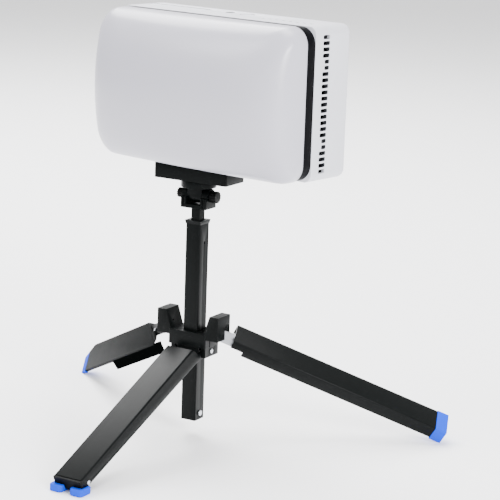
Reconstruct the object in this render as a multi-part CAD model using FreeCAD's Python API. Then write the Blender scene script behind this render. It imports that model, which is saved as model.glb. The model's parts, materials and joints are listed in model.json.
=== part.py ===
import FreeCAD, Part
import math
import os

# Compact LED panel light with a domed diffuser, on a folding mini tripod.
# Millimetres. +Z is up, the light faces -Y, and its width runs along X.
# The origin is on the ground, at the middle of the whole object's plan.
# Everything is drawn about the tripod column's axis and shifted there at the end.

COLUMN_X = 8.7
COLUMN_Y = 12.0
TRIPOD_TURN = 9.4

# The panel light
LIGHT_W = 147.0
LIGHT_H = 88.0
LIGHT_MID_X = 13.0
LIGHT_BOTTOM = 167.5
BODY_FRONT = -3.7
BODY_REAR = 28.5
BODY_CORNER = 5.2
FRONT_CORNER = 10.5
BODY_WALL = 2.2
FRAME_DEPTH = 7.0
FRAME_INSET = 0.5
DOME_DEPTH = 33.5
DOME_CURVE = 4.2
DOME_BOW_Z = 0.3
DOME_BOW_X = 0.2
DOME_STEPS = 8
DOME_WALL = 2.0
MAGNET_R = 3.0

VENT_PITCH = 3.45
VENT_MID_Y = 5.7
VENT_LONG = 5.8
VENT_SHORT = 4.0
VENT_HIGH = 2.3
VENT_HALF_COUNT = 11
SHORT_VENTS = (6, 7)
TOP_VENT_COUNT = 8
TOP_VENT_PITCH = 5.0
TOP_VENT_X = 39.0
TOP_VENT_Y = 7.0

WINDOW_T = 1.5
TRAY_DEPTH = 4.0
BOARD_T = 1.6
LED_SIZE = 2.8
LED_T = 0.6
LED_COLUMNS = 12
LED_ROWS = 7
SINK_BASE = 2.5
SINK_FIN = 7.0
SINK_FINS = 13
FAN_SIDE = 40.0
FAN_DEPTH = 6.4
FAN_BLADES = 9
FAN_X = 34.0
COVER_T = 2.0
COVER_INSET = 7.0
DIAL_R = 7.5
DIAL_REACH = 1.4
STUD_R = 3.1
SOCKET_R = 3.175
SOCKET_DEEP = 7.0
STUD_Y = 5.0

# The tripod's head
PLATE_W = 50.0
PLATE_D = 21.0
PLATE_BOTTOM = 157.0
PLATE_T = 9.5
DISC_R = 10.6
DISC_BOTTOM = 152.8
TILT_Z = 147.7
CHEEK_OUT = 8.9
CHEEK_IN = 5.0
CHEEK_R = 4.6
HEAD_HALF_D = 6.2
HEAD_BOTTOM = 140.3
KNOB_R = 3.5
KNOB_LONG = 4.4
LEFT_KNOB_R = 3.0
PIN_R = 1.5

# The column and the inner stem
STEM = 6.0
COLUMN = 10.2
COLUMN_BOTTOM = 9.2
COLUMN_TOP = 131.8
COLLAR = 11.2
STEM_BOTTOM = 52.0

# The hub
HUB_BOTTOM = 50.3
HUB_TOP = 65.5
BAND_BOTTOM = 56.6
BAND_FRONT = -9.0
POST_OUT = 21.4
POST_IN_TOP = 15.3
POST_IN_LOW = 11.6
POST_FRONT = -8.5
POST_REAR = 5.4
POST_BOTTOM = 62.0
POST_TOP = 76.8
SLEEVE = 7.5
EAR_IN = 9.45
EAR_OUT = 12.2
SLIDE_GAP = 0.1

GROUND = -1.2

# The legs. Sections are corner points as (toward the front, outward) of the leg's pivot line.
LEG_WALL = 1.3
FRONT_PIVOT_Z = 53.5
FRONT_SLOPE = 23.6
FRONT_W = 18.3
FRONT_START = 13.3
FRONT_END = 136.0
FRONT_TOP = 9.7
FRONT_LOW_FOOT = 2.5
FRONT_LUG = 2.9
FOOT_X = 6.9
FOOT_W = 8.6
FOOT_HIGH = 4.2
FOOT_FRONT = -131.5
FOOT_REAR = -120.8
SIDE_PIVOT_X = 17.0
SIDE_PIVOT_Y = -1.75
SIDE_PIVOT_Z = 65.5
SIDE_AZIMUTH = 124.3
RIGHT_SLOPE = 22.9
RIGHT_START = 10.5
RIGHT_END = 145.5
RIGHT_CAP_END = 153.0
RIGHT_BENDS = [(-11.3, 2.4), (-7.8, 8.6), (5.8, 0.64), (1.6, -6.7)]
RIGHT_CAP = [(-11.3, 2.4), (-7.8, 8.6), (5.8, 0.64), (0.9, -7.9)]
RIGHT_NOTCH = 18.5
RIGHT_NOTCH_ZONE = [(2.1, -3.3), (6.0, -5.4), (1.0, -11.0), (-2.0, -5.6)]
LEFT_SLOPE = 22.8
LEFT_START = 12.0
LEFT_TOP_START = 33.0
LEFT_END = 140.0
LEFT_CAP_END = 147.0
LEFT_BENDS = [(-5.8, 3.8), (0.7, 6.4), (7.4, -10.3), (5.6, -11.0)]
LEFT_CAP = [(-5.8, 3.8), (0.7, 6.4), (7.5, -10.8), (5.6, -11.6)]
LEFT_NOSE_S = 129.0
LEFT_NOSE_N = -1.0
LIP_START = 2.5
LIP_END = 88.0
LIP_BENDS = [(7.0, -9.4), (6.7, -10.9), (4.9, -16.6)]
STRAP_T = 2.0
STRAP_H = 7.4
STRAP_END = 30.0

LIGHT_TOP = LIGHT_BOTTOM + LIGHT_H
LIGHT_MID_Z = LIGHT_BOTTOM + LIGHT_H / 2
X_AXIS = FreeCAD.Vector(1, 0, 0)
Y_AXIS = FreeCAD.Vector(0, 1, 0)
Z_AXIS = FreeCAD.Vector(0, 0, 1)
ORIGIN = FreeCAD.Vector(0, 0, 0)


def box(x0, x1, y0, y1, z0, z1):
    return Part.makeBox(x1 - x0, y1 - y0, z1 - z0, FreeCAD.Vector(x0, y0, z0))


def rod(radius, start, end):
    first = FreeCAD.Vector(*start)
    along = FreeCAD.Vector(*end) - first
    return Part.makeCylinder(radius, along.Length, first, along)


def prism(points, push):
    corners = [FreeCAD.Vector(*point) for point in points]
    face = Part.Face(Part.makePolygon(corners + corners[:1]))
    return face.extrude(FreeCAD.Vector(*push))


def edges_along(shape, axis, test=lambda middle: True):
    """The straight edges of a shape that run along an axis and pass a test on their middle."""
    found = []
    for edge in shape.Edges:
        if len(edge.Vertexes) != 2 or not isinstance(edge.Curve, Part.Line):
            continue
        line = edge.Vertexes[1].Point - edge.Vertexes[0].Point
        middle = (edge.Vertexes[1].Point + edge.Vertexes[0].Point) * 0.5
        if abs(line.dot(axis)) > 0.999 * line.Length and test(middle):
            found.append(edge)
    return found


def rounded_slab(width, height, y0, y1, corner):
    """A plate across the light: rounded corners seen from the front, y0 to y1 deep."""
    x0 = LIGHT_MID_X - width / 2
    z0 = LIGHT_MID_Z - height / 2
    slab = box(x0, x0 + width, y0, y1, z0, z0 + height)
    return slab.makeFillet(corner, edges_along(slab, Y_AXIS))


def face_edges(shape, y):
    """The edges that lie in the plane at one depth of the light."""
    def flat(edge):
        return abs(edge.BoundBox.YMin - y) < 0.01 and abs(edge.BoundBox.YMax - y) < 0.01
    return [edge for edge in shape.Edges if flat(edge)]


def group(shapes):
    return Part.makeCompound(shapes)


def leg_frame(x, y, z, azimuth, slope):
    """Axes of a leg: out along the leg, sideways, and up away from the leg's back."""
    turn = math.radians(azimuth)
    drop = math.radians(slope)
    radial = FreeCAD.Vector(math.sin(turn), -math.cos(turn), 0)
    across = FreeCAD.Vector(math.cos(turn), math.sin(turn), 0)
    along = radial * math.cos(drop) - Z_AXIS * math.sin(drop)
    normal = radial * math.sin(drop) + Z_AXIS * math.cos(drop)
    return FreeCAD.Matrix(along.x, across.x, normal.x, x,
                          along.y, across.y, normal.y, y,
                          along.z, across.z, normal.z, z,
                          0, 0, 0, 1)


def on_tripod(shape):
    """Turn a piece with the tripod, which is not quite square to the light."""
    turned = shape.copy()
    turned.rotate(ORIGIN, Z_AXIS, TRIPOD_TURN)
    return turned


parts = {}

# ---------------------------------------------------------------- the panel light

frame_w = LIGHT_W - 2 * FRAME_INSET
frame_h = LIGHT_H - 2 * FRAME_INSET
frame_corner = FRONT_CORNER - FRAME_INSET
frame_front = BODY_FRONT - FRAME_DEPTH


def bulge(share, bow):
    """How far the dome stands out, as a share of its depth; share runs from 0 at its middle to 1 at its rim."""
    return (1 - share ** DOME_CURVE) ** (1 / DOME_CURVE) * (1 - bow * share * share)


def reach_at(level, half, bow):
    """Half the dome's size at one level: where its bulge falls to that level."""
    low, high = 0.0, 1.0
    for _ in range(40):
        middle = (low + high) / 2
        if bulge(middle, bow) > level:
            low = middle
        else:
            high = middle
    return low * half


def dome_solid(shrink, depth, base):
    """The dome as a loft through rounded rectangles, from its rim to its nearly flat front."""
    half_w = LIGHT_W / 2 - shrink
    half_h = LIGHT_H / 2 - shrink
    sections = []
    for step in range(DOME_STEPS + 1):
        level = math.sin(math.radians(90 * step / DOME_STEPS)) * 0.985
        x = reach_at(level, half_h, DOME_BOW_X / 2) + half_w - half_h
        z = reach_at(level, half_h, DOME_BOW_Z)
        corner = min(FRONT_CORNER - 0.4 * shrink + 0.4 * (half_h - z), z - 0.5)
        sections.append(outline(x, z, corner, base - depth * level))
    return Part.makeLoft(sections, True, False)


def outline(half_w, half_h, corner, y):
    """A rounded rectangle across the light, as a wire of four lines and four arcs."""
    edges = []
    previous = None
    first = None
    for sx, sz, start in ((1, 1, 0), (-1, 1, 90), (-1, -1, 180), (1, -1, 270)):
        cx = LIGHT_MID_X + sx * (half_w - corner)
        cz = LIGHT_MID_Z + sz * (half_h - corner)
        points = []
        for turn in (0, 45, 90):
            angle = math.radians(start + turn)
            points.append(FreeCAD.Vector(cx + corner * math.cos(angle), y, cz + corner * math.sin(angle)))
        if previous is None:
            first = points[0]
        else:
            edges.append(Part.LineSegment(previous, points[0]).toShape())
        edges.append(Part.Arc(*points).toShape())
        previous = points[2]
    edges.append(Part.LineSegment(previous, first).toShape())
    return Part.Wire(edges)


def diffuser():
    dome = dome_solid(0.0, DOME_DEPTH, frame_front)
    hollow = dome_solid(DOME_WALL, DOME_DEPTH - DOME_WALL, frame_front)
    parts["diffuser_dome"] = dome.cut(hollow)
    ring = rounded_slab(frame_w, frame_h, frame_front, BODY_FRONT, frame_corner)
    inside = rounded_slab(frame_w - 16, frame_h - 16, frame_front - 1, BODY_FRONT + 1, frame_corner - 5)
    ring = ring.cut(inside)
    spots = magnet_spots()
    for x, z in spots:
        ring = ring.cut(rod(MAGNET_R, (x, BODY_FRONT - 2.5, z), (x, BODY_FRONT, z)))
    parts["diffuser_frame"] = ring
    parts["diffuser_magnets"] = group(
        [rod(MAGNET_R, (x, BODY_FRONT - 2.5, z), (x, BODY_FRONT - 0.2, z)) for x, z in spots])


def magnet_spots():
    reach_x = LIGHT_W / 2 - 16
    edge_z = LIGHT_H / 2 - 4.6
    return [(LIGHT_MID_X + sx * reach_x, LIGHT_MID_Z + sz * edge_z) for sx in (-1, 1) for sz in (-1, 1)]


def vent_cutters():
    cutters = []
    for row in range(-VENT_HALF_COUNT, VENT_HALF_COUNT + 1):
        z = LIGHT_MID_Z + row * VENT_PITCH
        y1 = VENT_MID_Y + VENT_LONG / 2
        y0 = y1 - (VENT_SHORT if abs(row) in SHORT_VENTS else VENT_LONG)
        for side in (-1, 1):
            x = LIGHT_MID_X + side * (LIGHT_W / 2 - BODY_WALL / 2)
            slot = box(x - 3, x + 3, y0, y1, z - VENT_HIGH / 2, z + VENT_HIGH / 2)
            cutters.append(slot.makeFillet(0.8, edges_along(slot, X_AXIS)))
    for step in range(TOP_VENT_COUNT):
        x = TOP_VENT_X + step * TOP_VENT_PITCH
        cutters.append(box(x - 1.0, x + 1.0, TOP_VENT_Y - 0.5, TOP_VENT_Y + 0.5,
                           LIGHT_TOP - 4, LIGHT_TOP + 1))
    return cutters


cover_w = LIGHT_W - 2 * COVER_INSET
cover_h = LIGHT_H - 2 * COVER_INSET
cover_front = BODY_REAR - COVER_T
POWER_X, POWER_Y, POWER_R = 7.0, 15.5, 2.6
MODE_X, MODE_Y, MODE_R = 21.0, 14.5, 4.2
TRIM_X0, TRIM_X1, TRIM_Y0, TRIM_Y1 = -56.0, -8.0, 12.0, 18.0
USB_Z = LIGHT_MID_Z - 30.0
USB_Y = 16.0
SIDE_SOCKET_Y = 18.0


def body():
    outer = rounded_slab(LIGHT_W, LIGHT_H, BODY_FRONT, BODY_REAR, BODY_CORNER)
    outer = outer.makeFillet(3.0, face_edges(outer, BODY_REAR))
    outer = outer.makeFillet(0.5, face_edges(outer, BODY_FRONT))
    wall = BODY_WALL
    inner = rounded_slab(LIGHT_W - 2 * wall, LIGHT_H - 2 * wall, BODY_FRONT + 2, BODY_REAR - wall,
                         BODY_CORNER - wall)
    mouth = rounded_slab(LIGHT_W - 18, LIGHT_H - 18, BODY_FRONT - 1, BODY_FRONT + 3, 5.5)
    back = rounded_slab(cover_w - 3, cover_h - 3, BODY_REAR - 4, BODY_REAR + 1, 5.0)
    seat = rounded_slab(cover_w, cover_h, cover_front, BODY_REAR + 1, 6.0)
    shell = outer.cut(inner).cut(mouth).cut(back).cut(seat)
    shell = shell.cut(group(vent_cutters()))
    for x, z in magnet_spots():
        boss = rod(MAGNET_R + 0.9, (x, BODY_FRONT + 2, z), (x, BODY_FRONT + 3.4, z)).common(outer)
        shell = shell.fuse(boss).cut(rod(MAGNET_R, (x, BODY_FRONT - 0.1, z), (x, BODY_FRONT + 2.5, z)))
    socket_boss = rod(6.0, (0, STUD_Y, LIGHT_BOTTOM + 1), (0, STUD_Y, LIGHT_BOTTOM + SOCKET_DEEP + 2))
    shell = shell.fuse(socket_boss.common(outer))
    shell = shell.cut(rod(4.5, (0, STUD_Y, LIGHT_BOTTOM - 1), (0, STUD_Y, LIGHT_BOTTOM + SOCKET_DEEP)))
    side_x = LIGHT_MID_X - LIGHT_W / 2
    side_boss = rod(6.0, (side_x + 1, SIDE_SOCKET_Y, LIGHT_MID_Z), (side_x + 9, SIDE_SOCKET_Y, LIGHT_MID_Z))
    shell = shell.fuse(side_boss)
    shell = shell.cut(rod(4.5, (side_x - 1, SIDE_SOCKET_Y, LIGHT_MID_Z),
                          (side_x + 7.0, SIDE_SOCKET_Y, LIGHT_MID_Z)))
    shell = shell.cut(usb_outline(side_x - 1, side_x + 4, 4.6, 1.75))
    shell = shell.cut(rod(POWER_R + 0.15, (POWER_X, POWER_Y, LIGHT_TOP - 4), (POWER_X, POWER_Y, LIGHT_TOP + 1)))
    shell = shell.cut(rod(MODE_R + 0.15, (MODE_X, MODE_Y, LIGHT_TOP - 4), (MODE_X, MODE_Y, LIGHT_TOP + 1)))
    trim = box(TRIM_X0, TRIM_X1, TRIM_Y0, TRIM_Y1, LIGHT_TOP - 0.9, LIGHT_TOP + 1)
    shell = shell.cut(trim.makeFillet(2.9, edges_along(trim, Z_AXIS)))
    parts["body_shell"] = shell
    magnets = [rod(MAGNET_R, (x, BODY_FRONT + 0.1, z), (x, BODY_FRONT + 2.5, z)) for x, z in magnet_spots()]
    parts["body_magnets"] = group(magnets)
    inlay = box(TRIM_X0 + 0.1, TRIM_X1 - 0.1, TRIM_Y0 + 0.1, TRIM_Y1 - 0.1, LIGHT_TOP - 0.9, LIGHT_TOP - 0.2)
    parts["top_trim"] = inlay.makeFillet(2.8, edges_along(inlay, Z_AXIS))
    parts["tripod_socket"] = insert((0, STUD_Y, LIGHT_BOTTOM), (0, STUD_Y, LIGHT_BOTTOM + SOCKET_DEEP))
    parts["side_socket"] = insert((side_x, SIDE_SOCKET_Y, LIGHT_MID_Z),
                                  (side_x + 7.0, SIDE_SOCKET_Y, LIGHT_MID_Z))


def insert(mouth, bottom):
    sleeve = rod(4.5, mouth, bottom)
    return sleeve.cut(rod(SOCKET_R, mouth, bottom))


def usb_outline(x0, x1, half_y, half_z):
    shape = box(x0, x1, USB_Y - half_y, USB_Y + half_y, USB_Z - half_z, USB_Z + half_z)
    return shape.makeFillet(half_z - 0.05, edges_along(shape, X_AXIS))


def top_buttons():
    parts["power_button"] = rod(POWER_R, (POWER_X, POWER_Y, LIGHT_TOP - 3.6),
                                (POWER_X, POWER_Y, LIGHT_TOP - 0.3))
    cap = rod(MODE_R, (MODE_X, MODE_Y, LIGHT_TOP - 3.6), (MODE_X, MODE_Y, LIGHT_TOP - 0.1))
    parts["mode_button"] = cap.makeFillet(0.4, [cap.Edges[0]])


window_front = BODY_FRONT + 2.0
tray_front = window_front + WINDOW_T
board_front = tray_front + TRAY_DEPTH
sink_front = board_front + BOARD_T
fin_front = sink_front + SINK_BASE
fin_back = fin_front + SINK_FIN
INNER_W = LIGHT_W - 2 * BODY_WALL - 8.0
INNER_H = LIGHT_H - 2 * BODY_WALL - 15.0


def light_engine():
    parts["light_window"] = rounded_slab(INNER_W, INNER_H, window_front, tray_front, 5.0)
    tray = rounded_slab(INNER_W, INNER_H, tray_front, board_front, 5.0)
    low_x = LIGHT_MID_X - INNER_W / 2
    low_z = LIGHT_MID_Z - INNER_H / 2
    wide = (low_x + 2, tray_front, low_z + 2)
    slope = 2.0
    front = [wide, (wide[0] + INNER_W - 4, wide[1], wide[2]),
             (wide[0] + INNER_W - 4, wide[1], wide[2] + INNER_H - 4), (wide[0], wide[1], wide[2] + INNER_H - 4)]
    back = [(low_x + 2 + slope, board_front, low_z + 2 + slope),
            (low_x + INNER_W - 2 - slope, board_front, low_z + 2 + slope),
            (low_x + INNER_W - 2 - slope, board_front, low_z + INNER_H - 2 - slope),
            (low_x + 2 + slope, board_front, low_z + INNER_H - 2 - slope)]
    wires = []
    for loop in (front, back):
        corners = [FreeCAD.Vector(*point) for point in loop]
        wires.append(Part.makePolygon(corners + corners[:1]))
    parts["reflector_tray"] = tray.cut(Part.makeLoft(wires, True, True))
    parts["led_board"] = rounded_slab(INNER_W, INNER_H, board_front, sink_front, 4.0)
    leds = []
    for column in range(LED_COLUMNS):
        for row in range(LED_ROWS):
            x = LIGHT_MID_X + (column - (LED_COLUMNS - 1) / 2) * 9.6
            z = LIGHT_MID_Z + (row - (LED_ROWS - 1) / 2) * 8.4
            half = LED_SIZE / 2
            leds.append(box(x - half, x + half, board_front - LED_T, board_front, z - half, z + half))
    parts["led_emitters"] = group(leds)
    sink = box(low_x + 1, low_x + INNER_W - 1, sink_front, fin_front, low_z + 1, low_z + INNER_H - 1)
    for fin in range(SINK_FINS):
        z = low_z + 3 + fin * (INNER_H - 6) / (SINK_FINS - 1)
        sink = sink.fuse(box(low_x + 3, low_x + INNER_W - 3, fin_front, fin_back, z - 0.6, z + 0.6))
    corner = STUD_Y + 7.0
    sink = sink.cut(box(-7, 7, sink_front - 1, corner, low_z - 1, LIGHT_BOTTOM + SOCKET_DEEP + 3))
    parts["heatsink"] = sink


def electronics():
    back = fin_back + 0.3
    half = FAN_SIDE / 2
    mid_z = LIGHT_MID_Z
    housing = box(FAN_X - half, FAN_X + half, back, back + FAN_DEPTH, mid_z - half, mid_z + half)
    housing = housing.makeFillet(3.0, edges_along(housing, Y_AXIS))
    housing = housing.cut(rod(half - 1.5, (FAN_X, back - 1, mid_z), (FAN_X, back + FAN_DEPTH - 1.2, mid_z)))
    ring = rod(half - 1.5, (FAN_X, back + FAN_DEPTH - 1.5, mid_z), (FAN_X, back + FAN_DEPTH + 1, mid_z))
    ring = ring.cut(rod(8.0, (FAN_X, back, mid_z), (FAN_X, back + FAN_DEPTH + 2, mid_z)))
    for spoke in range(3):
        bar = box(FAN_X - 1.2, FAN_X + 1.2, back, back + FAN_DEPTH + 2, mid_z, mid_z + half)
        bar.rotate(FreeCAD.Vector(FAN_X, 0, mid_z), Y_AXIS, 30 + 120 * spoke)
        ring = ring.cut(bar)
    housing = housing.cut(ring)
    housing = housing.fuse(rod(1.5, (FAN_X, back + 1.0, mid_z), (FAN_X, back + FAN_DEPTH - 1.2, mid_z)))
    parts["fan_housing"] = housing
    rotor = rod(8.0, (FAN_X, back + 0.6, mid_z), (FAN_X, back + FAN_DEPTH - 1.6, mid_z))
    for blade in range(FAN_BLADES):
        vane = box(FAN_X - 0.5, FAN_X + 0.5, back + 0.8, back + FAN_DEPTH - 1.8, mid_z + 7, mid_z + half - 2.2)
        vane.rotate(FreeCAD.Vector(FAN_X, back + 2.5, mid_z + 7), Z_AXIS, 35)
        vane = vane.common(rod(half - 2.2, (FAN_X, back + 0.4, mid_z), (FAN_X, back + FAN_DEPTH - 1.5, mid_z)))
        vane.rotate(FreeCAD.Vector(FAN_X, 0, mid_z), Y_AXIS, 360.0 / FAN_BLADES * blade)
        rotor = rotor.fuse(vane)
    parts["fan_rotor"] = rotor.cut(rod(1.55, (FAN_X, back, mid_z), (FAN_X, back + FAN_DEPTH, mid_z)))
    pack = box(-50, 8, back, back + 6.0, LIGHT_MID_Z - 24, LIGHT_MID_Z + 26)
    parts["battery_pack"] = pack.makeFillet(2.0, edges_along(pack, Z_AXIS))
    board_y = back + FAN_DEPTH + 0.3
    board = box(-50.5, 72, board_y, board_y + 1.2, LIGHT_MID_Z - 31, LIGHT_MID_Z + 31)
    parts["main_board"] = board.cut(rod(17.5, (FAN_X, board_y - 1, mid_z), (FAN_X, board_y + 2, mid_z)))
    port = usb_outline(LIGHT_MID_X - LIGHT_W / 2 + 0.3, LIGHT_MID_X - LIGHT_W / 2 + 9.0, 4.45, 1.6)
    hollow = usb_outline(LIGHT_MID_X - LIGHT_W / 2, LIGHT_MID_X - LIGHT_W / 2 + 8.0, 4.15, 1.3)
    tongue = box(LIGHT_MID_X - LIGHT_W / 2 + 1.5, LIGHT_MID_X - LIGHT_W / 2 + 8.5,
                 USB_Y - 3.3, USB_Y + 3.3, USB_Z - 0.35, USB_Z + 0.35)
    parts["usb_c_port"] = port.cut(hollow).fuse(tongue)
    return board_y + 1.2


SCREEN_X, SCREEN_W, SCREEN_H = -14.0, 38.0, 22.0
DIALS = {"brightness_dial": (58.0, 14.0), "colour_dial": (58.0, -14.0)}
KEYS = {"menu_button": (16.0, 8.0), "back_button": (16.0, -8.0)}
KEY_R = 3.6
SCREW_SPOTS = [(-1, -1), (-1, 1), (1, -1), (1, 1)]


def rear():
    cover = rounded_slab(cover_w - 0.3, cover_h - 0.3, cover_front, BODY_REAR, 5.9)
    z = LIGHT_MID_Z
    screen = box(SCREEN_X - SCREEN_W / 2, SCREEN_X + SCREEN_W / 2, BODY_REAR - 1.0, BODY_REAR + 1,
                 z - SCREEN_H / 2, z + SCREEN_H / 2)
    opening = box(SCREEN_X - SCREEN_W / 2 + 2, SCREEN_X + SCREEN_W / 2 - 2, cover_front - 1, BODY_REAR + 1,
                  z - SCREEN_H / 2 + 2, z + SCREEN_H / 2 - 2)
    cover = cover.cut(screen).cut(opening)
    parts["display_window"] = box(SCREEN_X - SCREEN_W / 2 + 0.1, SCREEN_X + SCREEN_W / 2 - 0.1,
                                  BODY_REAR - 1.0, BODY_REAR - 0.1,
                                  z - SCREEN_H / 2 + 0.1, z + SCREEN_H / 2 - 0.1)
    parts["display_module"] = box(SCREEN_X - SCREEN_W / 2 + 2.2, SCREEN_X + SCREEN_W / 2 - 2.2,
                                  cover_front - 1.2, BODY_REAR - 1.0,
                                  z - SCREEN_H / 2 + 2.2, z + SCREEN_H / 2 - 2.2)
    for name, (x, dz) in DIALS.items():
        cover = cover.cut(rod(DIAL_R + 0.3, (x, BODY_REAR - 1.2, z + dz), (x, BODY_REAR + 1, z + dz)))
        cover = cover.cut(rod(1.5, (x, cover_front - 1, z + dz), (x, BODY_REAR, z + dz)))
        dial = rod(DIAL_R, (x, BODY_REAR - 1.15, z + dz), (x, BODY_REAR - 0.02, z + dz))
        dial = dial.fuse(rod(1.45, (x, cover_front - 1.0, z + dz), (x, BODY_REAR - 1, z + dz)))
        for notch in range(24):
            groove = rod(0.45, (x, BODY_REAR - 1.2, z + dz + DIAL_R), (x, BODY_REAR + 1, z + dz + DIAL_R))
            groove.rotate(FreeCAD.Vector(x, 0, z + dz), Y_AXIS, 15 * notch)
            dial = dial.cut(groove)
        parts[name] = dial
    for name, (x, dz) in KEYS.items():
        cover = cover.cut(rod(KEY_R + 0.15, (x, cover_front - 1, z + dz), (x, BODY_REAR + 1, z + dz)))
        parts[name] = rod(KEY_R, (x, cover_front + 0.3, z + dz), (x, BODY_REAR - 0.1, z + dz))
    screws = []
    for side, up in SCREW_SPOTS:
        x = LIGHT_MID_X + side * (cover_w / 2 - 5)
        sz = z + up * (cover_h / 2 - 5)
        cover = cover.cut(rod(2.2, (x, BODY_REAR - 1.2, sz), (x, BODY_REAR + 1, sz)))
        cover = cover.cut(rod(1.1, (x, cover_front - 1, sz), (x, BODY_REAR, sz)))
        screw = rod(2.15, (x, BODY_REAR - 1.2, sz), (x, BODY_REAR - 0.3, sz))
        screw = screw.fuse(rod(1.1, (x, cover_front - 1.5, sz), (x, BODY_REAR - 1.2, sz)))
        socket = box(x - 0.9, x + 0.9, BODY_REAR - 0.8, BODY_REAR, sz - 0.25, sz + 0.25)
        cross = box(x - 0.25, x + 0.25, BODY_REAR - 0.8, BODY_REAR, sz - 0.9, sz + 0.9)
        screws.append(screw.cut(socket).cut(cross))
    parts["cover_screws"] = group(screws)
    parts["rear_cover"] = cover


# ---------------------------------------------------------------- the tripod's head

def head():
    half_w = PLATE_W / 2
    half_d = PLATE_D / 2
    plate = box(-half_w, half_w, -half_d, half_d, PLATE_BOTTOM, PLATE_BOTTOM + PLATE_T)
    plate = plate.makeFillet(1.2, edges_along(plate, Z_AXIS))
    stud_x = math.sin(math.radians(TRIPOD_TURN)) * STUD_Y
    stud_y = math.cos(math.radians(TRIPOD_TURN)) * STUD_Y
    bore = rod(STUD_R + 0.1, (stud_x, stud_y, PLATE_BOTTOM), (stud_x, stud_y, LIGHT_BOTTOM))
    well = rod(5.2, (stud_x, stud_y, PLATE_BOTTOM), (stud_x, stud_y, PLATE_BOTTOM + 3.0))
    plate = plate.cut(bore).cut(well)
    parts["quick_plate"] = on_tripod(plate)
    pad = box(-half_w + 2, half_w - 2, -half_d + 2, half_d - 2, PLATE_BOTTOM + PLATE_T, LIGHT_BOTTOM)
    parts["plate_pad"] = on_tripod(pad.makeFillet(1.0, edges_along(pad, Z_AXIS)).cut(bore))
    stud = rod(STUD_R, (stud_x, stud_y, PLATE_BOTTOM + 1), (stud_x, stud_y, LIGHT_BOTTOM + SOCKET_DEEP - 0.6))
    stud = stud.fuse(rod(5.0, (stud_x, stud_y, PLATE_BOTTOM + 0.2), (stud_x, stud_y, PLATE_BOTTOM + 3.0)))
    coin_slot = box(stud_x - 6, stud_x + 6, stud_y - 0.6, stud_y + 0.6, PLATE_BOTTOM, PLATE_BOTTOM + 1.2)
    parts["plate_stud"] = on_tripod(stud.cut(coin_slot))
    block = rod(DISC_R, (0, 0, DISC_BOTTOM), (0, 0, PLATE_BOTTOM))
    inner = CHEEK_IN - 0.1
    tongue = box(-inner, inner, -CHEEK_R, CHEEK_R, TILT_Z, DISC_BOTTOM + 1)
    tongue = tongue.fuse(rod(CHEEK_R, (-inner, 0, TILT_Z), (inner, 0, TILT_Z)))
    block = block.fuse(tongue).cut(rod(PIN_R, (-9, 0, TILT_Z), (9, 0, TILT_Z)))
    parts["tilt_block"] = on_tripod(block)
    reach = CHEEK_OUT + KNOB_LONG - 1.0
    parts["tilt_pin"] = on_tripod(rod(PIN_R, (-reach, 0, TILT_Z), (reach, 0, TILT_Z)))
    base = box(-CHEEK_OUT, CHEEK_OUT, -HEAD_HALF_D, HEAD_HALF_D, HEAD_BOTTOM, TILT_Z - 0.8)
    base = base.makeFillet(1.0, edges_along(base, Z_AXIS))
    for side in (-1, 1):
        low, high = sorted((side * CHEEK_IN, side * CHEEK_OUT))
        base = base.fuse(rod(CHEEK_R, (low, 0, TILT_Z), (high, 0, TILT_Z)))
    fork_floor = TILT_Z - CHEEK_R - 0.5
    base = base.cut(box(-CHEEK_IN, CHEEK_IN, -HEAD_HALF_D - 1, HEAD_HALF_D + 1, fork_floor, TILT_Z + 9))
    for side in (-1, 1):
        groove = box(side * 6.7 - 0.5, side * 6.7 + 0.5, -HEAD_HALF_D - 1, -HEAD_HALF_D + 0.6,
                     HEAD_BOTTOM + 1, TILT_Z + 5)
        base = base.cut(groove)
    base = base.cut(rod(PIN_R + 0.05, (-9, 0, TILT_Z), (9, 0, TILT_Z)))
    half_stem = STEM / 2
    base = base.cut(box(-half_stem, half_stem, -half_stem, half_stem, HEAD_BOTTOM - 1, HEAD_BOTTOM + 1.5))
    parts["head_base"] = on_tripod(base)
    for name, side, radius in (("left_knob", -1, LEFT_KNOB_R), ("right_knob", 1, KNOB_R)):
        start = CHEEK_OUT + 0.2
        knob = rod(radius, (start, 0, TILT_Z), (start + KNOB_LONG, 0, TILT_Z))
        for groove_step in range(12):
            groove = rod(0.5, (start + 1, 0, TILT_Z + radius + 0.1), (start + 9, 0, TILT_Z + radius + 0.1))
            groove.rotate(FreeCAD.Vector(0, 0, TILT_Z), X_AXIS, 30 * groove_step)
            knob = knob.cut(groove)
        knob = knob.cut(rod(PIN_R + 0.05, (0, 0, TILT_Z), (reach + 0.3, 0, TILT_Z)))
        if side < 0:
            knob = knob.mirror(ORIGIN, X_AXIS)
        parts[name] = on_tripod(knob)


# ---------------------------------------------------------------- column and stem

def square_bar(side, z0, z1):
    half = side / 2
    return box(-half, half, -half, half, z0, z1)


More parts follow.
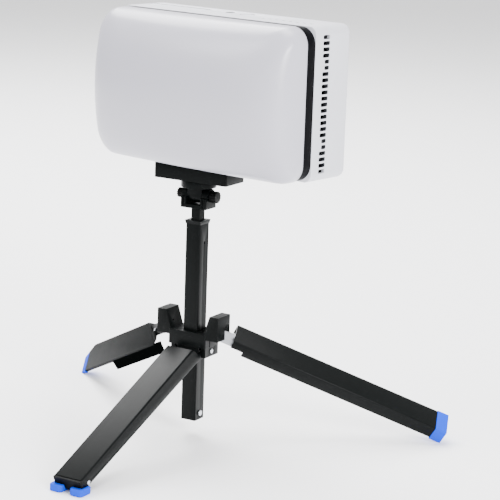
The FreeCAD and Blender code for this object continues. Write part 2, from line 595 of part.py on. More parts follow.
def column():
    bore = STEM + 2 * SLIDE_GAP
    tube = square_bar(COLUMN, COLUMN_BOTTOM, COLUMN_TOP)
    tube = tube.makeFillet(0.8, edges_along(tube, Z_AXIS)).cut(square_bar(bore, COLUMN_BOTTOM - 1, 200))
    pin_z = COLUMN_BOTTOM + 4.0
    pin_hole = rod(1.0, (-9, 0, pin_z), (9, 0, pin_z))
    dimple = rod(0.9, (COLUMN / 2 - 0.4, 0, COLUMN_TOP - 12.5), (COLUMN / 2 + 1, 0, COLUMN_TOP - 12.5))
    parts["column_tube"] = on_tripod(tube.cut(pin_hole).cut(dimple))
    plug = square_bar(bore - 0.02, COLUMN_BOTTOM + 0.3, COLUMN_BOTTOM + 9)
    parts["column_plug"] = on_tripod(plug.cut(pin_hole))
    pin = rod(1.0, (-COLUMN / 2, 0, pin_z), (COLUMN / 2, 0, pin_z))
    for side in (-1, 1):
        pin = pin.fuse(rod(1.7, (side * COLUMN / 2, 0, pin_z), (side * (COLUMN / 2 + 0.8), 0, pin_z)))
    parts["column_pin"] = on_tripod(pin)
    low = COLUMN / 2 + 0.05
    high = COLLAR / 2
    z0 = COLUMN_TOP - 1.2
    z1 = COLUMN_TOP + 1.0
    outline = []
    for half, z in ((low, z0), (high, z1)):
        corners = [FreeCAD.Vector(sx * half, sy * half, z) for sx, sy in ((-1, -1), (1, -1), (1, 1), (-1, 1))]
        outline.append(Part.makePolygon(corners + corners[:1]))
    collar = Part.makeLoft(outline, True, True)
    collar = collar.cut(square_bar(COLUMN, z0 - 1, COLUMN_TOP)).cut(square_bar(bore, z0, z1 + 1))
    parts["column_collar"] = on_tripod(collar)
    stem = square_bar(STEM, STEM_BOTTOM, HEAD_BOTTOM + 1.5)
    stem = stem.makeFillet(0.5, edges_along(stem, Z_AXIS))
    stem = stem.cut(square_bar(STEM - 2.4, STEM_BOTTOM - 1, HEAD_BOTTOM - 3))
    parts["stem_tube"] = on_tripod(stem)
    parts["stem_glide"] = on_tripod(square_bar(STEM - 0.1, STEM_BOTTOM - 5, STEM_BOTTOM))


# ---------------------------------------------------------------- hub

def side_frame(sign):
    return leg_frame(sign * SIDE_PIVOT_X, SIDE_PIVOT_Y, SIDE_PIVOT_Z, sign * SIDE_AZIMUTH, 0)


def hub():
    band = box(-13, 13, BAND_FRONT, 5, BAND_BOTTOM, HUB_TOP)
    band = band.makeFillet(1.0, edges_along(band, Z_AXIS))
    sleeve = box(-SLEEVE, SLEEVE, -SLEEVE, SLEEVE, HUB_BOTTOM, HUB_TOP)
    block = band.fuse(sleeve)
    block = block.fuse(box(-POST_IN_LOW - 1, POST_IN_LOW + 1, -2, 7.7, BAND_BOTTOM + 3, HUB_TOP))
    for side in (-1, 1):
        outline = [(side * POST_IN_LOW, POST_FRONT, POST_BOTTOM), (side * POST_OUT, POST_FRONT, POST_BOTTOM),
                   (side * POST_OUT, POST_FRONT, POST_TOP), (side * POST_IN_TOP, POST_FRONT, POST_TOP),
                   (side * POST_IN_LOW, POST_FRONT, HUB_TOP)]
        post = prism(outline, (0, POST_REAR - POST_FRONT, 0))
        block = block.fuse(post)
        low, high = sorted((side * EAR_IN, side * EAR_OUT))
        block = block.fuse(box(low, high, -7.0, 7.7, HUB_BOTTOM, HUB_TOP - 2))
    block = block.removeSplitter()
    block = block.cut(square_bar(COLUMN + 2 * SLIDE_GAP, HUB_BOTTOM - 1, POST_TOP + 1))
    reach = EAR_OUT - 0.8
    block = block.cut(rod(PIN_R, (-reach, 0, FRONT_PIVOT_Z), (reach, 0, FRONT_PIVOT_Z)))
    block = block.cut(rod(1.0, (-20, 0, FRONT_PIVOT_Z), (20, 0, FRONT_PIVOT_Z)))
    gap = STRAP_T / 2 + 0.15
    for sign in (-1, 1):
        slot = box(-4.6, 40, -gap, gap, -30, STRAP_H / 2 + 0.8).transformed(side_frame(sign))
        hole = rod(PIN_R, (0, -3.3, 0), (0, 3.3, 0)).transformed(side_frame(sign))
        block = block.cut(slot).cut(hole)
    parts["hub_block"] = on_tripod(block)
    rivets = []
    for side in (-1, 1):
        shaft = rod(PIN_R, (side * (SLEEVE - 1.5), 0, FRONT_PIVOT_Z), (side * (EAR_OUT - 0.8), 0, FRONT_PIVOT_Z))
        shaft = shaft.fuse(rod(1.0, (side * (EAR_OUT - 0.8), 0, FRONT_PIVOT_Z), (side * EAR_OUT, 0, FRONT_PIVOT_Z)))
        rim = rod(1.4, (side * EAR_OUT, 0, FRONT_PIVOT_Z), (side * (EAR_OUT + 0.5), 0, FRONT_PIVOT_Z))
        rivets.append(shaft.fuse(rim))
    parts["front_rivets"] = on_tripod(group(rivets))
    pins = []
    for sign in (-1, 1):
        pins.append(rod(PIN_R, (0, -3.3, 0), (0, 3.3, 0)).transformed(side_frame(sign)))
    parts["side_pins"] = on_tripod(group(pins))


# ---------------------------------------------------------------- legs

def front_leg():
    place = leg_frame(0, 0, FRONT_PIVOT_Z, 0, FRONT_SLOPE)
    half = FRONT_W / 2
    top = FRONT_TOP
    foot_low = FRONT_LOW_FOOT
    lug = FRONT_LUG
    side_view = [(0, -half, -lug), (FRONT_START, -half, -0.6), (FRONT_END, -half, foot_low),
                 (FRONT_END, -half, top), (FRONT_START, -half, top), (9.0, -half, lug), (0, -half, lug)]
    solid = prism(side_view, (0, FRONT_W, 0)).fuse(rod(lug, (0, -half, 0), (0, half, 0))).removeSplitter()
    long_top = edges_along(solid, X_AXIS, lambda middle: abs(middle.z - top) < 0.01)
    solid = solid.makeFillet(1.0, long_top)
    hollow = box(-10, FRONT_END + 1, -half + LEG_WALL, half - LEG_WALL, -10, top - LEG_WALL)
    channel = solid.cut(hollow).cut(rod(PIN_R + 0.05, (0, -20, 0), (0, 20, 0)))
    pin_s = FRONT_END - 5.0
    pin_n = foot_low + 1.6
    pin_hole = rod(0.9, (pin_s, -half - 1, pin_n), (pin_s, half + 1, pin_n))
    inner = half - LEG_WALL
    end = box(FRONT_END - 11.0, FRONT_END, -inner, inner, foot_low - 0.7, top - LEG_WALL)
    end = end.fuse(box(FRONT_END, FRONT_END + 1.5, -half, half, foot_low - 0.7, top - 0.4))
    parts["front_leg_channel"] = on_tripod(channel.cut(pin_hole).transformed(place))
    parts["front_end_block"] = on_tripod(end.cut(pin_hole).transformed(place))
    stubs = []
    for side in (-1, 1):
        face = side * half
        inside = side * (half - 4.0)
        stub = rod(0.9, (pin_s, inside, pin_n), (pin_s, face, pin_n))
        stubs.append(stub.fuse(rod(1.3, (pin_s, face, pin_n), (pin_s, face + side * 0.5, pin_n))))
    parts["front_foot_pins"] = on_tripod(group(stubs).transformed(place))
    above = box(0, FRONT_END + 1.8, -half - 0.2, half + 0.2, foot_low - 0.7, 60).transformed(place)
    feet = []
    for side in (-1, 1):
        foot = box(side * FOOT_X - FOOT_W / 2, side * FOOT_X + FOOT_W / 2, FOOT_FRONT, FOOT_REAR, GROUND,
                   GROUND + FOOT_HIGH)
        foot = foot.makeFillet(2.4, edges_along(foot, Z_AXIS))
        level = [edge for edge in foot.Edges if edge.BoundBox.ZLength < 0.01]
        feet.append(foot.makeFillet(0.8, level).cut(above))
    parts["front_feet"] = on_tripod(group(feet))


def crossing(point_a, way_a, point_b, way_b):
    """Where two lines of a leg's section meet."""
    det = way_b[0] * way_a[1] - way_a[0] * way_b[1]
    gap = (point_b[0] - point_a[0], point_b[1] - point_a[1])
    reach = (way_b[0] * gap[1] - gap[0] * way_b[1]) / det
    return (point_a[0] + way_a[0] * reach, point_a[1] + way_a[1] * reach)


def folded_sheet(sign, s0, s1, bends, wall):
    """Folded sheet along a leg: bends are its outer corners as (toward the front, outward)."""
    outer = [(-sign * front, out) for front, out in bends]
    ways = []
    inward = []
    for first, second in zip(outer, outer[1:]):
        length = math.hypot(second[0] - first[0], second[1] - first[1])
        way = ((second[0] - first[0]) / length, (second[1] - first[1]) / length)
        ways.append(way)
        inward.append((sign * way[1], -sign * way[0]))
    walls = [(outer[k][0] - inward[k][0] * wall, outer[k][1] - inward[k][1] * wall) for k in range(len(ways))]
    inner = [walls[0]]
    for k in range(1, len(ways)):
        inner.append(crossing(walls[k - 1], ways[k - 1], walls[k], ways[k]))
    last = inward[-1]
    inner.append((outer[-1][0] - last[0] * wall, outer[-1][1] - last[1] * wall))
    section = [(s0, y, n) for y, n in outer + inner[::-1]]
    return prism(section, (s1 - s0, 0, 0))


def filled_bar(sign, s0, s1, corners):
    return prism([(s0, -sign * front, out) for front, out in corners], (s1 - s0, 0, 0))


def shrunk(corners, by):
    """The corners of a convex section, drawn in toward its middle."""
    middle_front = sum(front for front, out in corners) / len(corners)
    middle_out = sum(out for front, out in corners) / len(corners)
    result = []
    for front, out in corners:
        reach = math.hypot(front - middle_front, out - middle_out)
        keep = (reach - by) / reach
        result.append((middle_front + (front - middle_front) * keep, middle_out + (out - middle_out) * keep))
    return result


def side_leg(sign, name, slope, bends, start, end, cap_section, cap_end):
    place = leg_frame(sign * SIDE_PIVOT_X, SIDE_PIVOT_Y, SIDE_PIVOT_Z, sign * SIDE_AZIMUTH, slope)
    shell = folded_sheet(sign, start, end, bends[:4], LEG_WALL)
    corners = [(-sign * front, out) for front, out in bends[1:3]]

    def outer_corner(middle):
        return min(math.hypot(middle.y - y, middle.z - n) for y, n in corners) < 0.05

    shell = shell.makeFillet(1.1, edges_along(shell, X_AXIS, outer_corner))
    half_t = STRAP_T / 2
    half_h = STRAP_H / 2
    strap = box(0, STRAP_END, -half_t, half_t, -half_h, half_h)
    strap = strap.fuse(rod(half_h, (0, -half_t, 0), (0, half_t, 0)))
    inside = shrunk(bends[:4], LEG_WALL * 2.0)
    core = filled_bar(sign, start + 4.0, STRAP_END + 2, inside)
    strap = strap.cut(box(start, STRAP_END + 1, -20, 20, -20, 20).cut(filled_bar(sign, start - 1, STRAP_END + 2, bends)))
    strap_room = box(0, STRAP_END + 1, -half_t, half_t, -half_h, half_h)
    core = core.cut(strap_room).cut(shell)
    strap = strap.cut(shell).cut(rod(PIN_R + 0.05, (0, -9, 0), (0, 9, 0)))
    rivets = []
    for s in (start + 8.5, STRAP_END - 3.0):
        shaft = rod(0.9, (s, -30, 0), (s, 30, 0))
        rivets.append(shaft.common(core.fuse(strap)))
        core = core.cut(shaft)
        strap = strap.cut(shaft)
    parts[name + "_leg_shell"] = shell.transformed(place)
    parts[name + "_leg_link"] = strap.transformed(place)
    parts[name + "_leg_core"] = core.transformed(place)
    parts[name + "_leg_rivets"] = group(rivets).transformed(place)
    cap = filled_bar(sign, end, cap_end, cap_section)
    cap = cap.fuse(filled_bar(sign, end - 7.0, end, inside).cut(shell)).removeSplitter().transformed(place)
    parts[name + "_foot"] = cap.cut(box(-300, 300, -300, 300, -60, GROUND))
    return place


def legs():
    front_leg()
    place = side_leg(1, "right", RIGHT_SLOPE, RIGHT_BENDS, RIGHT_START, RIGHT_END, RIGHT_CAP, RIGHT_CAP_END)
    notch = filled_bar(1, 0, RIGHT_NOTCH, RIGHT_NOTCH_ZONE).transformed(place)
    parts["right_leg_shell"] = parts["right_leg_shell"].cut(notch)
    place = side_leg(-1, "left", LEFT_SLOPE, LEFT_BENDS, LEFT_START, LEFT_END, LEFT_CAP, LEFT_CAP_END)
    mitre = prism([(LEFT_START - 1, 40, -10.3), (LEFT_START - 1, 40, 9), (LEFT_TOP_START, 40, 9),
                   (LEFT_TOP_START, 40, 6.4), (LEFT_START, 40, -10.3)], (0, -80, 0)).transformed(place)
    parts["left_leg_shell"] = parts["left_leg_shell"].cut(mitre)
    parts["left_leg_core"] = parts["left_leg_core"].cut(mitre)
    nose = prism([(LEFT_NOSE_S, 40, 6.9), (LEFT_CAP_END + 1, 40, LEFT_NOSE_N), (LEFT_CAP_END + 1, 40, 9),
                  (LEFT_NOSE_S, 40, 9)], (0, -80, 0)).transformed(place)
    parts["left_leg_shell"] = parts["left_leg_shell"].cut(nose)
    parts["left_foot"] = parts["left_foot"].cut(nose)
    lip = folded_sheet(-1, LIP_START, LIP_END, LIP_BENDS, LEG_WALL)
    slant = prism([(LIP_END - 9, 40, -30), (LIP_END + 1, 40, -8), (LIP_END + 1, 40, -30)], (0, -80, 0))
    lip = lip.cut(slant).transformed(place)
    parts["left_leg_lip"] = lip.cut(parts["left_leg_shell"]).cut(parts["left_leg_link"])
    for name in ("shell", "link", "core", "rivets"):
        for side in ("right", "left"):
            key = side + "_leg_" + name
            parts[key] = on_tripod(parts[key])
    for key in ("right_foot", "left_foot", "left_leg_lip"):
        parts[key] = on_tripod(parts[key])


diffuser()
body()
top_buttons()
light_engine()
electronics()
rear()
head()
column()
hub()
legs()

os.makedirs("parts", exist_ok=True)
for node, shape in parts.items():
    shape.translate(FreeCAD.Vector(COLUMN_X, COLUMN_Y, -GROUND))
    shape.exportStep(os.path.join("parts", node + ".step"))
    bounds = shape.optimalBoundingBox()
    print(node, "solids", len(shape.Solids), "valid", shape.isValid(), "volume", round(shape.Volume, 1),
          "low", [round(v, 1) for v in (bounds.XMin, bounds.YMin, bounds.ZMin)],
          "high", [round(v, 1) for v in (bounds.XMax, bounds.YMax, bounds.ZMax)])
whole = group(list(parts.values())).optimalBoundingBox()
print("whole", [round(v, 2) for v in (whole.XMin, whole.YMin, whole.ZMin, whole.XMax, whole.YMax, whole.ZMax)])
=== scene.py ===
import bpy
import bmesh
import json
import math
from mathutils import Matrix, Vector


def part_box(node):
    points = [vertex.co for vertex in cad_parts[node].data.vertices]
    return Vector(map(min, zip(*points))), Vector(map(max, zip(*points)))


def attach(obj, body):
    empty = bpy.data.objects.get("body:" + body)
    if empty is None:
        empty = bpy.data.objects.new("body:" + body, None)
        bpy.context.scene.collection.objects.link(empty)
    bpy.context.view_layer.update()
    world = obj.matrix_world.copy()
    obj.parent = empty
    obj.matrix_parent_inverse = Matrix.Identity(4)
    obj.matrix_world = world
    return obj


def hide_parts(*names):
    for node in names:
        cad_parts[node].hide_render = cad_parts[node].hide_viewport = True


# Looks of a compact LED panel light on a folding mini tripod. Metres, row frame.

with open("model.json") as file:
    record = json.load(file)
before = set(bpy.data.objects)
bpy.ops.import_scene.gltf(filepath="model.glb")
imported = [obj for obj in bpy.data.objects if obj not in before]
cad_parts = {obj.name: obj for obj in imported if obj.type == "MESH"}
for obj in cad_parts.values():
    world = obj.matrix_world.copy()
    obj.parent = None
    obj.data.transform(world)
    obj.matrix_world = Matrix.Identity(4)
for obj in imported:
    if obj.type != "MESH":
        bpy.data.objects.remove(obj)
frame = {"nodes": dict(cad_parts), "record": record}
NODES = frame["nodes"]
BODY_OF = {node: body for body, nodes in frame["record"]["behaviour"]["bodies"].items() for node in nodes}
SLOT_OF = {part["node"]: part["material_slot"] for part in frame["record"]["subparts"]}
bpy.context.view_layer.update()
MM = 0.001

DOME_CURVE = 4.2
DOME_BOW_X = 0.2
DOME_BOW_Z = 0.3
DOME_LOOPS = 30
CORNER_STEPS = 12
STRAIGHT_W = 14
STRAIGHT_H = 10
DOME_SHELL = 1.8 * MM
PAD_GAP = 0.04 * MM
LIP_SHRINK = 0.99

SLOT_SKIN = 0.25 * MM
SLOT_DEEP = 4 * MM
SLOT_CORNER = 7 * MM
SLOT_END = 3 * MM

FLOOR_NEAR = -6.0
FLOOR_BEND = 3.0
FLOOR_BEND_R = 2.0
FLOOR_TOP = 8.0
FLOOR_HALF_W = 7.0
FLOOR_STEPS = 12

CAMERA_AZIMUTH = 39.55
CAMERA_ELEVATION = 12.72
CAMERA_ROLL = 2.01
CAMERA_DISTANCE = 1.12821
CAMERA_LENS = 135.92
CAMERA_TARGET = Vector((0.0087, 0.0120, 0.11638))
CAMERA_ASIDE = 0.0317


# ---------------------------------------------------------------- materials

def srgb(value):
    value /= 255.0
    return value / 12.92 if value <= 0.04045 else ((value + 0.055) / 1.055) ** 2.4


def colour(r, g, b):
    return (srgb(r), srgb(g), srgb(b), 1.0)


def new_material(name):
    material = bpy.data.materials.new(name)
    material.use_nodes = True
    tree = material.node_tree
    return material, tree.nodes, tree.links, tree.nodes["Principled BSDF"]


def surface(name, base, rough, grain=400.0, bump=0.02, spread=0.06, tone=0.06, metal=0.0, coat=0.0,
            specular=0.5, wear=0.0, stretch=(1.0, 1.0, 1.0)):
    """A solid finish: fine grain in the bump, slow changes in roughness and tone, optional worn spots."""
    material, nodes, links, shader = new_material(name)
    shader.inputs["Metallic"].default_value = metal
    shader.inputs["Coat Weight"].default_value = coat
    shader.inputs["Coat Roughness"].default_value = 0.12
    shader.inputs["Specular IOR Level"].default_value = specular
    place = nodes.new("ShaderNodeTexCoord")
    mapping = nodes.new("ShaderNodeMapping")
    mapping.inputs["Scale"].default_value = stretch
    links.new(place.outputs["Object"], mapping.inputs["Vector"])
    fine = nodes.new("ShaderNodeTexNoise")
    fine.inputs["Scale"].default_value = grain * 10
    fine.inputs["Detail"].default_value = 3.0
    links.new(mapping.outputs["Vector"], fine.inputs["Vector"])
    slow = nodes.new("ShaderNodeTexNoise")
    slow.inputs["Scale"].default_value = 35.0
    slow.inputs["Detail"].default_value = 4.0
    links.new(mapping.outputs["Vector"], slow.inputs["Vector"])
    relief = nodes.new("ShaderNodeBump")
    relief.inputs["Strength"].default_value = bump * 10
    relief.inputs["Distance"].default_value = 0.00005
    links.new(fine.outputs["Fac"], relief.inputs["Height"])
    links.new(relief.outputs["Normal"], shader.inputs["Normal"])
    rough_range = nodes.new("ShaderNodeMapRange")
    rough_range.inputs["To Min"].default_value = max(0.02, rough - spread)
    rough_range.inputs["To Max"].default_value = min(1.0, rough + spread)
    links.new(slow.outputs["Fac"], rough_range.inputs["Value"])
    links.new(rough_range.outputs["Result"], shader.inputs["Roughness"])
    tones = nodes.new("ShaderNodeMix")
    tones.data_type = "RGBA"
    low = [c * (1 - tone) for c in base[:3]] + [1.0]
    high = [min(1.0, c * (1 + tone)) for c in base[:3]] + [1.0]
    tones.inputs[6].default_value = low
    tones.inputs[7].default_value = high
    links.new(slow.outputs["Fac"], tones.inputs["Factor"])
    result = tones.outputs[2]
    if wear:
        spots = nodes.new("ShaderNodeTexNoise")
        spots.inputs["Scale"].default_value = 160.0
        spots.inputs["Detail"].default_value = 6.0
        links.new(place.outputs["Object"], spots.inputs["Vector"])
        edge = nodes.new("ShaderNodeMapRange")
        edge.inputs["From Min"].default_value = 0.66
        edge.inputs["From Max"].default_value = 0.72
        edge.inputs["To Max"].default_value = wear
        links.new(spots.outputs["Fac"], edge.inputs["Value"])
        worn = nodes.new("ShaderNodeMix")
        worn.data_type = "RGBA"
        worn.inputs[7].default_value = [min(1.0, c * 2.2 + 0.02) for c in base[:3]] + [1.0]
        links.new(edge.outputs["Result"], worn.inputs["Factor"])
        links.new(result, worn.inputs[6])
        result = worn.outputs[2]
    links.new(result, shader.inputs["Base Color"])
    return material


MATERIALS = {
    "body_white": surface("body_white", colour(190, 191, 198), 0.42, grain=500, bump=0.012, tone=0.015),
    # painted shade: the diffuser is milky white, but its base colour is a grey that makes it render darker
    # than the white backdrop
    "diffuser_milky": surface("diffuser_milky", colour(168, 167, 177), 0.3, grain=300, bump=0.006,
                              tone=0.012),
    "frame_black": surface("frame_black", colour(6, 6, 8), 0.42, bump=0.02, tone=0.1, specular=0.03),
    "grey_trim": surface("grey_trim", colour(190, 192, 200), 0.5, bump=0.02),
    "dark_plastic": surface("dark_plastic", colour(38, 40, 45), 0.5, bump=0.03, tone=0.1),
    "dark_glass": surface("dark_glass", colour(10, 12, 16), 0.08, bump=0.002, coat=0.6),
    "magnet_steel": surface("magnet_steel", colour(190, 191, 195), 0.25, metal=1.0, wear=0.3),
    "brass_insert": surface("brass_insert", colour(190, 152, 88), 0.32, metal=1.0, wear=0.2),
    "clear_sheet": surface("clear_sheet", colour(232, 238, 242), 0.3, bump=0.01),
    "white_reflector": surface("white_reflector", colour(244, 244, 242), 0.4, bump=0.02),
    "board_white": surface("board_white", colour(236, 236, 230), 0.5, bump=0.02),
    "board_green": surface("board_green", colour(32, 92, 60), 0.4, bump=0.03, tone=0.15),
    "led_yellow": surface("led_yellow", colour(232, 212, 110), 0.35, bump=0.02),
    "sink_aluminium": surface("sink_aluminium", colour(182, 185, 190), 0.4, metal=1.0, stretch=(0.1, 1, 1)),
    "battery_wrap": surface("battery_wrap", colour(48, 98, 168), 0.3, bump=0.02, coat=0.3),
    "port_steel": surface("port_steel", colour(170, 173, 178), 0.3, metal=1.0),
    "screw_steel": surface("screw_steel", colour(112, 115, 120), 0.35, metal=1.0, wear=0.3),
    "tripod_black": surface("tripod_black", colour(5, 7, 7), 0.37, grain=450, bump=0.02, tone=0.12,
                            specular=0.07, wear=0.03),
    "head_black": surface("head_black", colour(5, 7, 7), 0.3, grain=400, bump=0.02, tone=0.12, wear=0.03,
                          specular=0.04),
    "pad_rubber": surface("pad_rubber", colour(14, 15, 16), 0.7, grain=250, bump=0.06, specular=0.3),
    "knob_black": surface("knob_black", colour(7, 8, 8), 0.4, bump=0.03, specular=0.06),
    "pin_steel": surface("pin_steel", colour(200, 203, 208), 0.28, metal=1.0, wear=0.25),
    "link_steel": surface("link_steel", colour(150, 152, 156), 0.34, metal=1.0, stretch=(1, 1, 0.1),
                          wear=0.2),
    "liner_black": surface("liner_black", colour(8, 9, 9), 0.5, bump=0.03, specular=0.06),
    "foot_blue": surface("foot_blue", colour(0, 60, 196), 0.5, grain=220, bump=0.04, tone=0.06,
                         specular=0.06),
}
# painted shade: a darker copy of tripod_black, with less sheen, for the left leg, which lies in shade
MATERIALS["left_leg_shaded_black"] = surface("left_leg_shaded_black", colour(5, 7, 7), 0.45, grain=450, bump=0.02,
                                       tone=0.12, specular=0.02, wear=0.03)
# painted shade: a still darker copy of tripod_black, with no sheen, for the left leg's lip
MATERIALS["lip_shaded_black"] = surface("lip_shaded_black", colour(4, 5, 5), 0.6, grain=450, bump=0.02, tone=0.12,
                                  specular=0.0)


# ---------------------------------------------------------------- building helpers

def add_object(name, verts, faces, node, smooth=True):
    mesh = bpy.data.meshes.new(name)
    mesh.from_pydata(verts, [], faces)
    mesh.validate()
    obj = bpy.data.objects.new(name, mesh)
    bpy.context.scene.collection.objects.link(obj)
    dress(obj, node)
    for polygon in mesh.polygons:
        polygon.use_smooth = smooth
    return obj


def dress(obj, node):
    """Gives a piece its finish, and lets it stand for a CAD node and move with its body."""
    obj.data.materials.clear()
    obj.data.materials.append(MATERIALS[SLOT_OF[node]])
    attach(obj, BODY_OF[node])
    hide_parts(node)


def crisp(node, bevel, segments=3, angle=32.0, name=None):
    """A clean copy of a CAD node with its sharp edges rounded."""
    mesh = NODES[node].data.copy()
    work = bmesh.new()
    work.from_mesh(mesh)
    bmesh.ops.remove_doubles(work, verts=work.verts, dist=2e-6)
    bmesh.ops.dissolve_limit(work, angle_limit=math.radians(1.0), verts=work.verts, edges=work.edges)
    bmesh.ops.recalc_face_normals(work, faces=work.faces)
    for edge in work.edges:
        edge.smooth = True
    for face in work.faces:
        face.smooth = True
    work.to_mesh(mesh)
    work.free()
    obj = bpy.data.objects.new(name or node + "_piece", mesh)
    bpy.context.scene.collection.objects.link(obj)
    dress(obj, node)
    rounding = obj.modifiers.new("edges", "BEVEL")
    rounding.width = bevel
    rounding.segments = segments
    rounding.limit_method = "ANGLE"
    rounding.angle_limit = math.radians(angle)
    rounding.harden_normals = True
    rounding.use_clamp_overlap = True
    return obj


def rounded_loop(cx, cz, half_w, half_h, radius, y):
    """Points round a rounded rectangle, facing -Y, always the same number."""
    radius = min(radius, half_w - 1e-5, half_h - 1e-5)
    points = []
    corners = [(1, 1, 0.0), (-1, 1, 90.0), (-1, -1, 180.0), (1, -1, 270.0)]
    for index, (sx, sz, start) in enumerate(corners):
        ox, oz = cx + sx * (half_w - radius), cz + sz * (half_h - radius)
        for step in range(CORNER_STEPS + 1):
            angle = math.radians(start + 90.0 * step / CORNER_STEPS)
            points.append(Vector((ox + radius * math.cos(angle), y, oz + radius * math.sin(angle))))
        nx, nz, following = corners[(index + 1) % 4]
        first = points[-1]
        ex, ez = cx + nx * (half_w - radius), cz + nz * (half_h - radius)
        turn = math.radians(following)
        last = Vector((ex + radius * math.cos(turn), y, ez + radius * math.sin(turn)))
        count = STRAIGHT_W if index % 2 == 0 else STRAIGHT_H
        for step in range(1, count):
            points.append(first.lerp(last, step / count))
    return points


def bridge(loops):
    """Quads from loop to loop; the last loop is closed by a strip across it."""
    count = len(loops[0])
    verts = [tuple(point) for loop in loops for point in loop]
    faces = []
    for ring in range(len(loops) - 1):
        for k in range(count):
            nxt = (k + 1) % count
            here, above = ring * count, (ring + 1) * count
            faces.append((here + k, here + nxt, above + nxt, above + k))
    last = (len(loops) - 1) * count
    facing = 4 * CORNER_STEPS + 2 * STRAIGHT_W + STRAIGHT_H
    for k in range(count // 2):
        here = k - STRAIGHT_H // 2
        strip = []
        for index in (here, here + 1, facing - here - 1, facing - here):
            corner = last + index % count
            if corner not in strip:
                strip.append(corner)
        faces.append(tuple(strip))
    return verts, faces


def fix_normals(obj):
    work = bmesh.new()
    work.from_mesh(obj.data)
    bmesh.ops.recalc_face_normals(work, faces=work.faces)
    work.to_mesh(obj.data)
    work.free()


# ---------------------------------------------------------------- the diffuser

def build_dome():
    low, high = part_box("diffuser_dome")
    cx, cz = (low.x + high.x) / 2, (low.z + high.z) / 2
    half_w, half_h = (high.x - low.x) / 2, (high.z - low.z) / 2
    depth = high.y - low.y
    loops = [rounded_loop(cx, cz, half_w - 1.2 * MM, half_h - 1.2 * MM, 9.3 * MM, high.y),
             rounded_loop(cx, cz, half_w - 0.35 * MM, half_h - 0.35 * MM, 10.2 * MM, high.y - 0.02 * MM)]
    for k in range(DOME_LOOPS):
        share = (k / (DOME_LOOPS - 1)) ** 1.9
        inset = share * (half_h - 0.6 * MM)
        fall = (1 - inset / half_h) ** DOME_CURVE
        rise = max(0.0, 1 - fall) ** (1 / DOME_CURVE)
        loop = rounded_loop(cx, cz, half_w - inset, half_h - inset, 10.5 * MM + 0.3 * inset, high.y)
        for point in loop:
            bow = DOME_BOW_Z * ((point.z - cz) / half_h) ** 2 + DOME_BOW_X * ((point.x - cx) / half_w) ** 2
            point.y = high.y - 0.5 * MM - rise * (1 - bow) * (depth - 0.6 * MM)
        loops.append(loop)
    verts, faces = bridge(loops)
    dome = add_object("diffuser_dome_piece", verts, faces, "diffuser_dome")
    fix_normals(dome)
    shell = dome.modifiers.new("wall", "SOLIDIFY")
    shell.thickness = DOME_SHELL
    shell.offset = -1.0
    return dome


# ---------------------------------------------------------------- pieces that differ a little from the CAD

def build_body():
    """The white shell; the walls inside its vent slots and its inner walls get a dark material as painted
    shade.
    """
    shell = crisp("body_shell", 0.18 * MM, segments=2, angle=40.0)
    # painted shade: the slot walls and inner walls are white plastic, painted dark here where shade falls
    shell.data.materials.append(MATERIALS["dark_plastic"])
    low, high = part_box("body_shell")
    middle = (low + high) / 2
    for polygon in shell.data.polygons:
        inset_x = (high.x - low.x) / 2 - abs(polygon.center.x - middle.x)
        inset_z = (high.z - low.z) / 2 - abs(polygon.center.z - middle.z)
        side_slot = SLOT_SKIN < inset_x < SLOT_DEEP and inset_z > SLOT_CORNER
        top_slot = SLOT_SKIN < inset_z < SLOT_DEEP and inset_x > SLOT_CORNER
        inner = min(inset_x, inset_z) > SLOT_DEEP
        away_from_ends = low.y + SLOT_END < polygon.center.y < high.y - SLOT_END
        if (side_slot or top_slot or inner) and away_from_ends:
            # painted shade in the vent slots and inside the shell
            polygon.material_index = 1


def build_pad():
    """The rubber pad, a hair lower than the light that stands on it."""
    pad = crisp("plate_pad", 0.25 * MM)
    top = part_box("plate_pad")[1].z
    for vertex in pad.data.vertices:
        if vertex.co.z > top - 0.1 * MM:
            vertex.co.z -= PAD_GAP


def build_lip():
    """The left leg's lip, shrunk a little so that it clears the front leg when it folds, and given a darker
    black as painted shade.
    """
    lip = crisp("left_leg_lip", 0.35 * MM)
    # painted shade: the lip takes the darkest copy of tripod_black
    lip.data.materials[0] = MATERIALS["lip_shaded_black"]
    low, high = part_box("left_leg_lip")
    middle = (low + high) / 2
    for vertex in lip.data.vertices:
        vertex.co = middle + (vertex.co - middle) * LIP_SHRINK


build_dome()
crisp("diffuser_frame", 0.35 * MM)
build_body()
crisp("rear_cover", 0.2 * MM, segments=2, angle=40.0)
for node in ("quick_plate", "column_collar", "head_base", "tilt_block"):
    crisp(node, 0.4 * MM)
build_pad()
crisp("column_tube", 0.35 * MM)
crisp("stem_tube", 0.25 * MM)
crisp("hub_block", 0.55 * MM)
for node in ("left_knob", "right_knob"):
    crisp(node, 0.25 * MM)
for node in ("front_leg_channel", "right_leg_shell"):
    crisp(node, 0.35 * MM)
# painted shade: the left leg takes the shaded copy of tripod_black
crisp("left_leg_shell", 0.35 * MM).data.materials[0] = MATERIALS["left_leg_shaded_black"]
build_lip()
for node in ("right_leg_link", "left_leg_link"):
    crisp(node, 0.25 * MM)
crisp("front_end_block", 0.5 * MM)
crisp("front_feet", 0.6 * MM)
for node in ("right_foot", "left_foot"):
    crisp(node, 0.8 * MM)
for node in ("front_foot_pins", "front_rivets", "column_pin"):
    crisp(node, 0.2 * MM)

for node, obj in NODES.items():
    obj.data.materials.clear()
    obj.data.materials.append(MATERIALS[SLOT_OF[node]])


# ---------------------------------------------------------------- stage, lights and camera

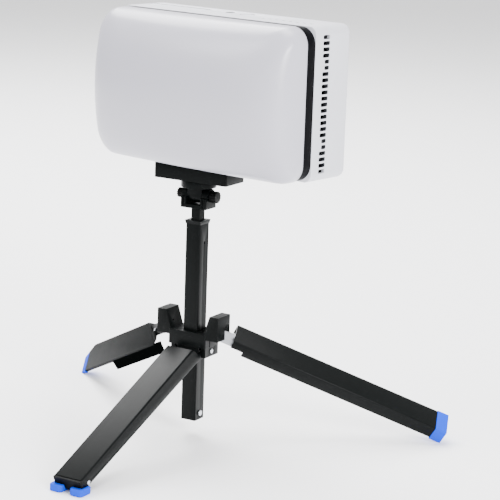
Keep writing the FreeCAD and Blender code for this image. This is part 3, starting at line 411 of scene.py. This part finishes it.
def stage_floor():
    """A pale floor that curves up into a backdrop far behind."""
    verts, faces = [], []
    path = [(FLOOR_NEAR, 0.0), (FLOOR_BEND, 0.0)]
    for step in range(1, FLOOR_STEPS + 1):
        angle = math.radians(90 * step / FLOOR_STEPS)
        path.append((FLOOR_BEND + FLOOR_BEND_R * math.sin(angle), FLOOR_BEND_R * (1 - math.cos(angle))))
    path.append((FLOOR_BEND + FLOOR_BEND_R, FLOOR_TOP))
    facing = math.radians(CAMERA_AZIMUTH)
    away = Vector((-math.sin(facing), math.cos(facing), 0))
    side = Vector((math.cos(facing), math.sin(facing), 0))
    for along, up in path:
        for across in (-FLOOR_HALF_W, FLOOR_HALF_W):
            point = away * along + side * across
            verts.append((point.x, point.y, up))
    for k in range(len(path) - 1):
        faces.append((2 * k, 2 * k + 1, 2 * k + 3, 2 * k + 2))
    mesh = bpy.data.meshes.new("floor")
    mesh.from_pydata(verts, [], faces)
    floor = bpy.data.objects.new("floor", mesh)
    bpy.context.scene.collection.objects.link(floor)
    for polygon in mesh.polygons:
        polygon.use_smooth = True
    mesh.materials.append(surface("floor_paint", colour(250, 250, 251), 0.9, grain=2, bump=0.0, tone=0.004,
                                  specular=0.2))


def area_light(name, place, target, size, power, size_y=None, tint=(1, 1, 1)):
    data = bpy.data.lights.new(name, "AREA")
    data.shape = "RECTANGLE"
    data.size = size
    data.size_y = size_y or size
    data.energy = power
    data.color = tint
    obj = bpy.data.objects.new(name, data)
    bpy.context.scene.collection.objects.link(obj)
    obj.location = place
    obj.rotation_mode = "QUATERNION"
    obj.rotation_quaternion = (Vector(target) - Vector(place)).to_track_quat("-Z", "Y")
    return obj


def studio():
    world = bpy.data.worlds.new("studio")
    bpy.context.scene.world = world
    world.use_nodes = True
    world.node_tree.nodes["Background"].inputs["Color"].default_value = (1, 1, 1, 1)
    world.node_tree.nodes["Background"].inputs["Strength"].default_value = 1.3
    area_light("key", (-0.9, -1.3, 1.5), (0.0, 0, 0.15), 0.8, 18)
    area_light("side", (1.5, -0.5, 0.7), (0.02, 0, 0.15), 0.6, 46)
    area_light("top", (0.1, 0.2, 1.8), (0.0, 0, 0.1), 1.0, 36)
    area_light("back", (-0.93, 0.48, 1.34), (0.0, -0.06, 0.03), 1.1, 60)


def camera():
    """Long lens, slightly above, from the front right."""
    azimuth = math.radians(CAMERA_AZIMUTH)
    elevation = math.radians(CAMERA_ELEVATION)
    roll = math.radians(CAMERA_ROLL)
    back = Vector((math.sin(azimuth) * math.cos(elevation), -math.cos(azimuth) * math.cos(elevation),
                   math.sin(elevation)))
    right = Vector((math.cos(azimuth), math.sin(azimuth), 0))
    up = back.cross(right)
    target = CAMERA_TARGET + right * CAMERA_ASIDE
    rolled_right = right * math.cos(roll) + up * math.sin(roll)
    rolled_up = up * math.cos(roll) - right * math.sin(roll)
    data = bpy.data.cameras.new("camera")
    data.sensor_width = 36.0
    data.lens = CAMERA_LENS
    data.clip_start = 0.05
    data.clip_end = 50
    obj = bpy.data.objects.new("camera", data)
    bpy.context.scene.collection.objects.link(obj)
    obj.matrix_world = Matrix.Translation(target + back * CAMERA_DISTANCE) @ Matrix(
        (rolled_right, rolled_up, back)).transposed().to_4x4()
    bpy.context.scene.camera = obj


stage_floor()
studio()
camera()
